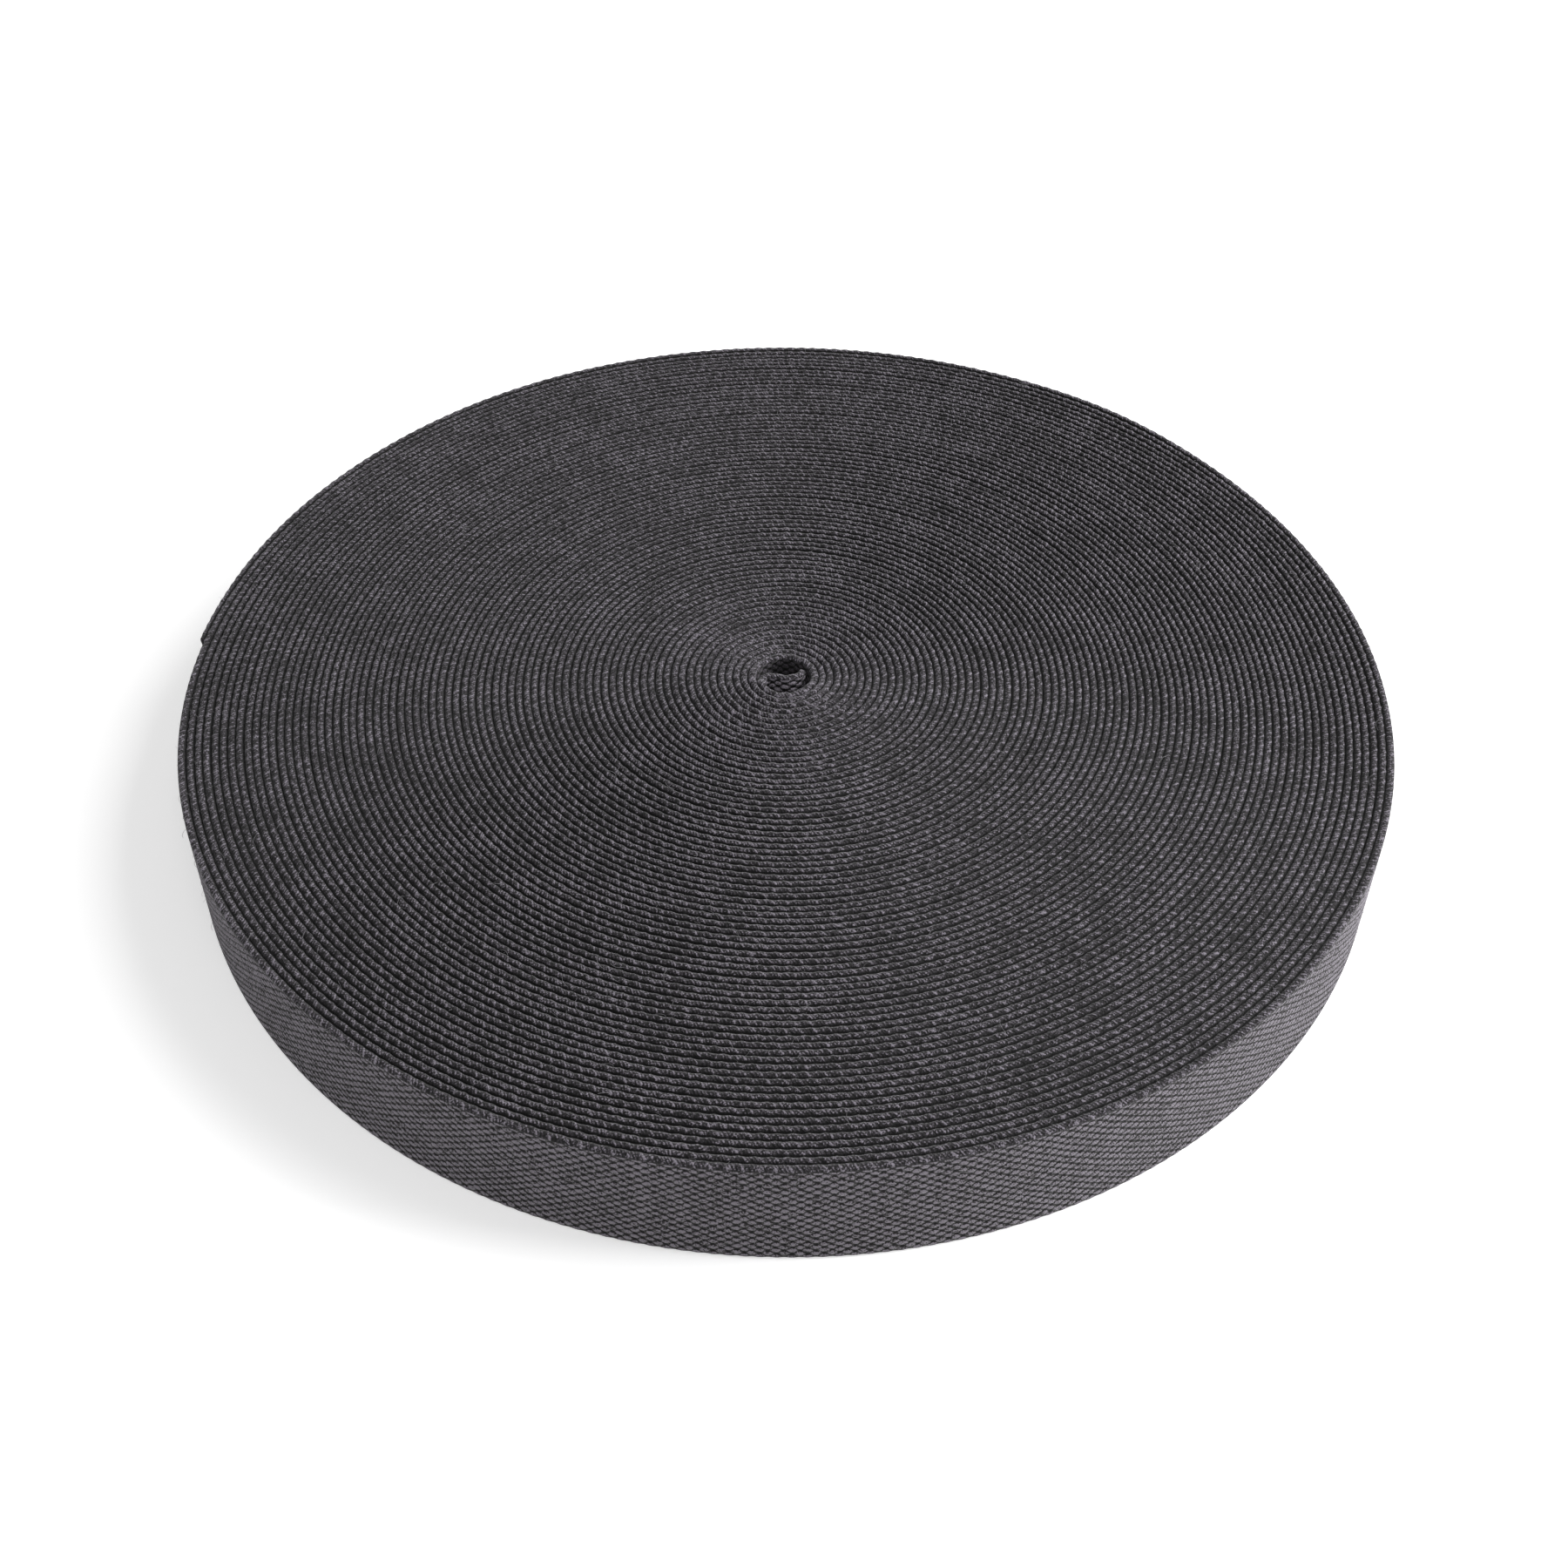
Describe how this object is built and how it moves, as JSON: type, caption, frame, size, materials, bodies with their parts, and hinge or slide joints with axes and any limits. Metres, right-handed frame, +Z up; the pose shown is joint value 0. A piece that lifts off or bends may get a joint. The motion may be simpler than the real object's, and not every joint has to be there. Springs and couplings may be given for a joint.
{
  "type": "roll of cotton webbing",
  "caption": "Flat roll of charcoal cotton webbing, 39 mm wide and about 44 m long, wound edge up without a core, its inner end loose across the middle hole.",
  "frame": {"origin": "middle of the roll's box, on the face that it lies on", "axes": "+Z up through the hole, across the webbing's width; +X to the right and +Y to the back as the picture shows the roll"},
  "size_m": [0.365, 0.3656, 0.039],
  "materials": {
    "cotton": "matte"
  },
  "bodies": {
    "root": {"webbing_roll": "cotton", "inner_end": "cotton"}
  },
  "joints": []
}
